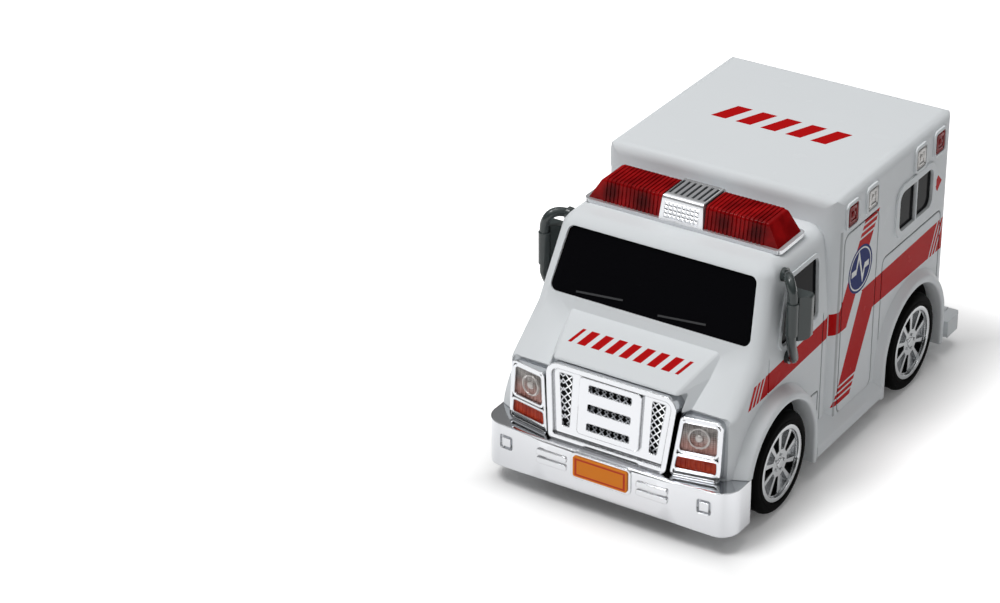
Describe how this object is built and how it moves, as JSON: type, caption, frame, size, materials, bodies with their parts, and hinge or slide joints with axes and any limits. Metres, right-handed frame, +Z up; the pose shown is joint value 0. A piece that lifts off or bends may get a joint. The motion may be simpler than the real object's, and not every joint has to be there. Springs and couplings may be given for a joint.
{
  "type": "toy ambulance",
  "caption": "Toy van ambulance with a white box body, chrome front, red lamp bar, jewel lamps, striped sides and rolling wheels on a pull-back motor.",
  "frame": {"origin": "on the ground under the middle of the toy's bounding box", "axes": "+Z up, the cab faces -Y, +X is the vehicle's left side"},
  "size_m": [0.0758, 0.1282, 0.0716],
  "materials": {
    "white_paint": "gloss moulding with printed stripes",
    "dark_plastic": "moulded",
    "chrome": "vacuum plated",
    "mesh_silver": "plated",
    "plate_orange": "gloss",
    "clear_lens": "clear moulding",
    "amber_lens": "tinted moulding",
    "red_lens": "tinted moulding",
    "bar_red": "tinted moulding",
    "black_glass": "gloss",
    "silver_plastic": "plated",
    "mirror_grey": "semi-gloss",
    "steel": "drawn",
    "tyre": "satin rubber",
    "motor_plastic": "moulded",
    "gear_plastic": "moulded"
  },
  "bodies": {
    "vehicle": {"body_shell": "white_paint", "rear_step": "white_paint", "chassis_base": "dark_plastic", "front_bumper": "chrome", "grille": "chrome", "headlamp_bezel_left": "chrome", "headlamp_bezel_right": "chrome", "grille_mesh": "mesh_silver", "number_plate": "plate_orange", "headlamp_lens_left": "clear_lens", "headlamp_lens_right": "clear_lens", "indicator_lens_left": "amber_lens", "indicator_lens_right": "amber_lens", "cab_glazing": "black_glass", "side_box_window": "black_glass", "rear_door_window_left": "black_glass", "rear_door_window_right": "black_glass", "rear_red_lenses": "red_lens", "rear_amber_lenses": "amber_lens", "rear_clear_lenses": "clear_lens", "side_red_lenses": "red_lens", "side_clear_lenses": "clear_lens", "light_bar_base": "silver_plastic", "light_bar_lens_left": "bar_red", "light_bar_lens_right": "bar_red", "light_bar_centre": "silver_plastic", "mirror_left": "mirror_grey", "mirror_right": "mirror_grey", "chassis_screws": "steel", "motor_screws": "steel", "barrel_arbor": "steel", "motor_case_left": "motor_plastic", "motor_case_right": "motor_plastic"},
    "front_wheelset": {"front_axle": "steel", "rim_front_left": "chrome", "rim_front_right": "chrome", "tyre_front_left": "tyre", "tyre_front_right": "tyre"},
    "rear_wheelset": {"rear_axle": "steel", "axle_gear": "gear_plastic", "rim_rear_left": "chrome", "rim_rear_right": "chrome", "tyre_rear_left": "tyre", "tyre_rear_right": "tyre"},
    "idler": {"idler_gear": "gear_plastic"},
    "barrel": {"spring_barrel": "gear_plastic", "barrel_cap": "steel", "mainspring": "steel"}
  },
  "joints": [
    {"name": "front_spin", "type": "hinge", "parent": "vehicle", "child": "front_wheelset", "pos_m": [0, -0.0356, 0.0132], "axis": [1, 0, 0], "continuous": true},
    {"name": "rear_spin", "type": "hinge", "parent": "vehicle", "child": "rear_wheelset", "pos_m": [0, 0.0351, 0.0132], "axis": [1, 0, 0], "continuous": true},
    {"name": "idler_spin", "type": "hinge", "parent": "vehicle", "child": "idler", "pos_m": [0, 0.02577, 0.02253], "axis": [1, 0, 0], "continuous": true},
    {"name": "barrel_spin", "type": "hinge", "parent": "vehicle", "child": "barrel", "pos_m": [0, 0.01218, 0.02014], "axis": [1, 0, 0], "continuous": true}
  ],
  "couplings": [
    {"joint": "idler_spin", "follows": "rear_spin", "ratio": -0.46667},
    {"joint": "barrel_spin", "follows": "rear_spin", "ratio": 0.16471}
  ]
}
